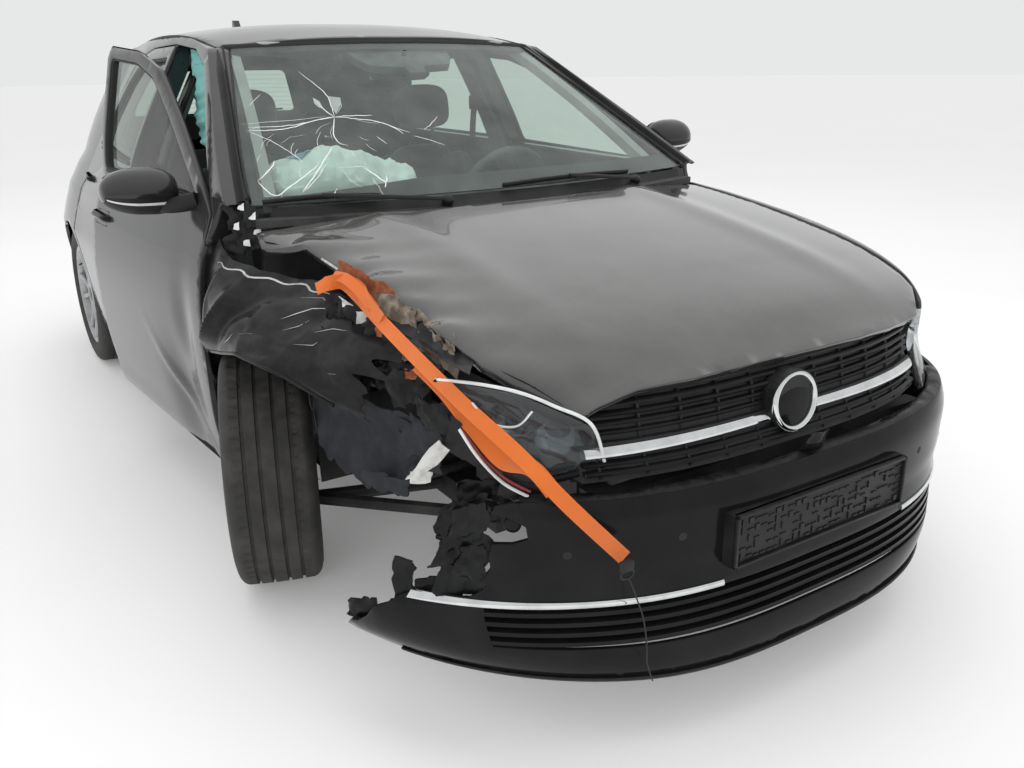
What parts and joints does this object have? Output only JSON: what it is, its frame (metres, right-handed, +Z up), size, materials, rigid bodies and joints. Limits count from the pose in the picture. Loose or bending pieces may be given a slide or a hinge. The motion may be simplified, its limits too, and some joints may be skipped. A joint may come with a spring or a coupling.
{
  "type": "crashed car, five-door hatchback",
  "caption": "Five-door hatchback standing on its wheels, its front right corner crushed, with opening doors, tailgate, turning wheels and left-hand steering.",
  "frame": {"origin": "on the floor under the middle of the car", "axes": "+Z up, -Y towards the nose, +X towards the car's left side"},
  "size_m": [2.0745, 4.297, 1.52],
  "materials": {
    "paint": "gloss black, dusty",
    "glass": "clear, green tint",
    "plastic": "grained black",
    "steel": "dusty dark metal",
    "lamp": "clear cover",
    "tail": "gloss",
    "cloth": "woven",
    "trim": "soft grained",
    "webbing": "woven webbing",
    "airbag": "matt weave",
    "curtain": "matt weave",
    "rubber": "worn and dusty",
    "alloy": "machined and dusty"
  },
  "bodies": {
    "body": {"floor_pan": "steel", "body_side_left": "paint", "body_side_right": "paint", "roof_panel": "paint", "bulkhead": "steel", "windscreen": "glass", "front_frame": "steel", "engine_block": "steel", "front_subframe": "steel", "bonnet": "paint", "wing_left": "paint", "wing_right": "paint", "front_bumper": "plastic", "upper_grille": "plastic", "plate_carrier": "plastic", "headlamp_left": "lamp", "headlamp_right": "lamp", "arch_liner_right": "plastic", "strap": "webbing", "rear_bumper": "paint", "tail_lamp_left": "tail", "tail_lamp_right": "tail", "rear_axle": "steel", "exhaust": "steel", "seat_front_left": "cloth", "seat_front_right": "cloth", "rear_bench": "cloth", "dashboard": "trim", "airbag_passenger": "airbag", "curtain_airbag_right": "curtain"},
    "door_front_left": {"door_front_left": "paint", "glass_front_left": "glass", "mirror_left": "paint"},
    "door_front_right": {"door_front_right": "paint", "glass_front_right": "glass", "mirror_right": "paint"},
    "door_rear_left": {"door_rear_left": "paint", "glass_rear_left": "glass"},
    "door_rear_right": {"door_rear_right": "paint", "glass_rear_right": "glass"},
    "tailgate": {"tailgate": "paint", "glass_tailgate": "glass"},
    "knuckle_front_left": {"knuckle_front_left": "steel"},
    "wheel_front_left": {"tyre_front_left": "rubber", "rim_front_left": "alloy"},
    "wheel_front_right": {"tyre_front_right": "rubber", "rim_front_right": "alloy"},
    "wheel_rear_left": {"tyre_rear_left": "rubber", "rim_rear_left": "alloy"},
    "wheel_rear_right": {"tyre_rear_right": "rubber", "rim_rear_right": "alloy"},
    "steering_rack": {"steering_rack": "steel"},
    "steering_wheel": {"steering_wheel": "trim"}
  },
  "joints": [
    {"name": "wheel_spin_rear_left", "type": "hinge", "parent": "body", "child": "wheel_rear_left", "pos_m": [0.76, 1.3545, 0.317], "axis": [1, 0, 0], "continuous": true},
    {"name": "wheel_spin_rear_right", "type": "hinge", "parent": "body", "child": "wheel_rear_right", "pos_m": [-0.76, 1.3545, 0.317], "axis": [1, 0, 0], "continuous": true},
    {"name": "wheel_spin_front_right", "type": "hinge", "parent": "body", "child": "wheel_front_right", "pos_m": [-0.79, -1, 0.317], "axis": [0.9455, -0.3256, 0], "continuous": true},
    {"name": "steer_front_left", "type": "hinge", "parent": "body", "child": "knuckle_front_left", "pos_m": [0.69, -1.2825, 0.317], "axis": [0, 0, 1], "range_deg": [-35, 35]},
    {"name": "wheel_spin_front_left", "type": "hinge", "parent": "knuckle_front_left", "child": "wheel_front_left", "pos_m": [0.7745, -1.2825, 0.317], "axis": [1, 0, 0], "continuous": true},
    {"name": "rack_slide", "type": "slide", "parent": "body", "child": "steering_rack", "axis": [1, 0, 0], "range_m": [-0.07, 0.07]},
    {"name": "steering_wheel_turn", "type": "hinge", "parent": "body", "child": "steering_wheel", "pos_m": [0.37, -0.345, 0.862], "axis": [0, 0.9241, 0.3822], "range_deg": [-540, 540]},
    {"name": "door_hinge_front_left", "type": "hinge", "parent": "body", "child": "door_front_left", "pos_m": [0.893, -0.833, 0.6], "axis": [0, 0, -1], "range_deg": [0, 62]},
    {"name": "door_hinge_front_right", "type": "hinge", "parent": "body", "child": "door_front_right", "pos_m": [-0.893, -0.833, 0.6], "axis": [0, 0, 1], "range_deg": [-4.5, 57.5]},
    {"name": "door_hinge_rear_left", "type": "hinge", "parent": "body", "child": "door_rear_left", "pos_m": [0.893, 0.217, 0.6], "axis": [0, 0, -1], "range_deg": [0, 65]},
    {"name": "door_hinge_rear_right", "type": "hinge", "parent": "body", "child": "door_rear_right", "pos_m": [-0.893, 0.217, 0.6], "axis": [0, 0, 1], "range_deg": [0, 65]},
    {"name": "tailgate_hinge", "type": "hinge", "parent": "body", "child": "tailgate", "pos_m": [0, 1.788, 1.375], "axis": [1, 0, 0], "range_deg": [0, 80]}
  ],
  "couplings": [
    {"joint": "steering_wheel_turn", "follows": "steer_front_left", "ratio": 15},
    {"joint": "rack_slide", "follows": "steer_front_left", "m_per_rad": -0.1075}
  ]
}
